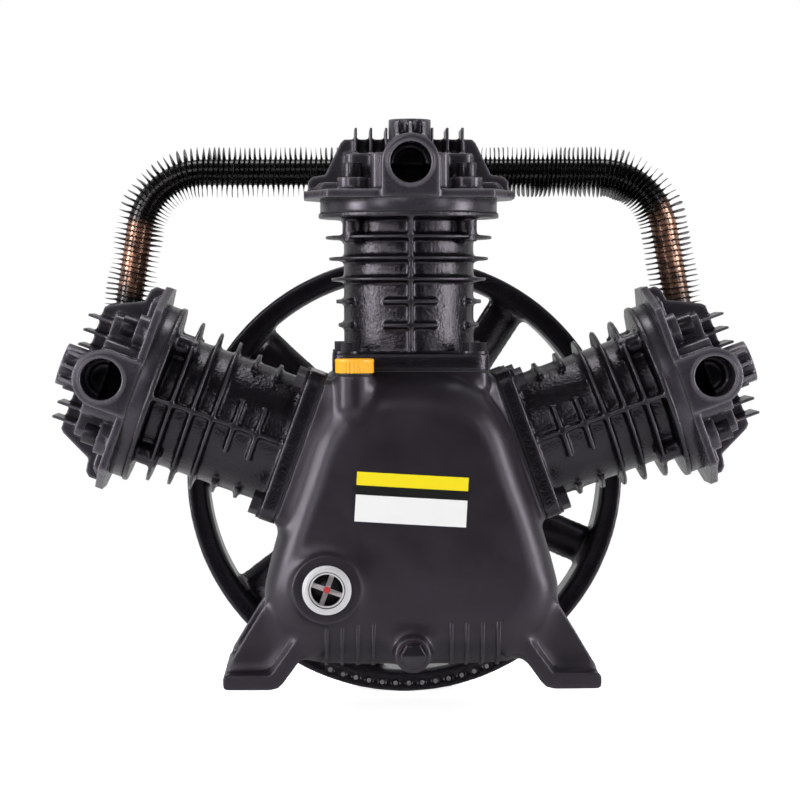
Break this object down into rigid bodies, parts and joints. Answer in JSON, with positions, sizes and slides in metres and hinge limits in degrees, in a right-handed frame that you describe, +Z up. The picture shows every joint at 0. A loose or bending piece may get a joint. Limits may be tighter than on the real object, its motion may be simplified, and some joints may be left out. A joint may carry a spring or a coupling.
{
  "type": "air compressor pump head",
  "caption": "Belt-driven air compressor pump head: W-form finned cylinders on a domed crankcase, finned discharge tubes and a fan-spoked V-belt flywheel.",
  "frame": {"origin": "middle of the four foot bolts, on the plane that the feet stand on", "axes": "+X to the right seen from the front, +Y back towards the flywheel, +Z up; the crankshaft axis runs along Y at z = 0.172 m"},
  "size_m": [0.63, 0.315, 0.5296],
  "materials": {
    "case_paint": "satin charcoal paint on cast iron",
    "cylinder_paint": "semi-gloss black paint on rough cast iron",
    "head_paint": "satin dark grey paint on cast aluminium",
    "wheel_paint": "gloss black paint on cast iron",
    "black_steel": "black oxide steel under the black paint",
    "black_fitting": "black painted steel fitting",
    "painted_copper": "finned copper tube, black paint worn to bare copper",
    "copper": "soft copper washer",
    "zinc_steel": "zinc plated",
    "ground_steel": "machined and ground",
    "bright_alloy": "turned aluminium",
    "reflector_alloy": "stamped aluminium, red centre spot",
    "cast_alloy": "cast and machined aluminium",
    "sight_window": "clear window over dark oil",
    "cap_plastic": "moulded yellow-orange plastic",
    "seal_rubber": "black nitrile rubber",
    "gasket": "grey fibre gasket sheet"
  },
  "bodies": {
    "pump": {"crankcase": "case_paint", "sight_ring": "bright_alloy", "sight_lens": "sight_window", "sight_cross": "reflector_alloy", "rear_cover": "case_paint", "rear_cover_gasket": "gasket", "rear_cover_bolts": "zinc_steel", "crankpin": "ground_steel", "front_bearing": "ground_steel", "rear_bearing": "ground_steel", "oil_seal": "seal_rubber", "centre_cross": "black_fitting", "left_elbow": "black_fitting", "right_elbow": "black_fitting", "left_tube": "painted_copper", "right_tube": "painted_copper", "tube_nuts": "black_fitting", "left_cylinder": "cylinder_paint", "left_base_gasket": "gasket", "left_base_bolts": "black_steel", "left_piston": "cast_alloy", "left_piston_rings": "ground_steel", "left_wrist_pin": "ground_steel", "left_con_rod": "cast_alloy", "left_valve_plate": "head_paint", "left_head_gaskets": "gasket", "left_head": "head_paint", "left_head_bolts": "black_steel", "centre_cylinder": "cylinder_paint", "centre_base_gasket": "gasket", "centre_base_bolts": "black_steel", "centre_piston": "cast_alloy", "centre_piston_rings": "ground_steel", "centre_wrist_pin": "ground_steel", "centre_con_rod": "cast_alloy", "centre_valve_plate": "head_paint", "centre_head_gaskets": "gasket", "centre_head": "head_paint", "centre_head_bolts": "black_steel", "right_cylinder": "cylinder_paint", "right_base_gasket": "gasket", "right_base_bolts": "black_steel", "right_piston": "cast_alloy", "right_piston_rings": "ground_steel", "right_wrist_pin": "ground_steel", "right_con_rod": "cast_alloy", "right_valve_plate": "head_paint", "right_head_gaskets": "gasket", "right_head": "head_paint", "right_head_bolts": "black_steel"},
    "crank": {"crank_front_half": "ground_steel", "crank_rear_half": "ground_steel", "flywheel": "wheel_paint", "flywheel_key": "ground_steel", "flywheel_washer": "zinc_steel", "flywheel_nut": "zinc_steel"},
    "filler_cap": {"filler_cap": "cap_plastic", "filler_cap_seal": "seal_rubber"},
    "drain_plug": {"drain_plug": "black_steel", "drain_washer": "copper"}
  },
  "joints": [
    {"name": "crank_spin", "type": "hinge", "parent": "pump", "child": "crank", "pos_m": [0, 0, 0.172], "axis": [0, 1, 0], "continuous": true},
    {"name": "filler_cap_lift", "type": "slide", "parent": "pump", "child": "filler_cap", "axis": [0, 0, 1], "range_m": [0, 0.03]},
    {"name": "drain_plug_pull", "type": "slide", "parent": "pump", "child": "drain_plug", "axis": [0, -1, 0], "range_m": [0, 0.03]}
  ]
}
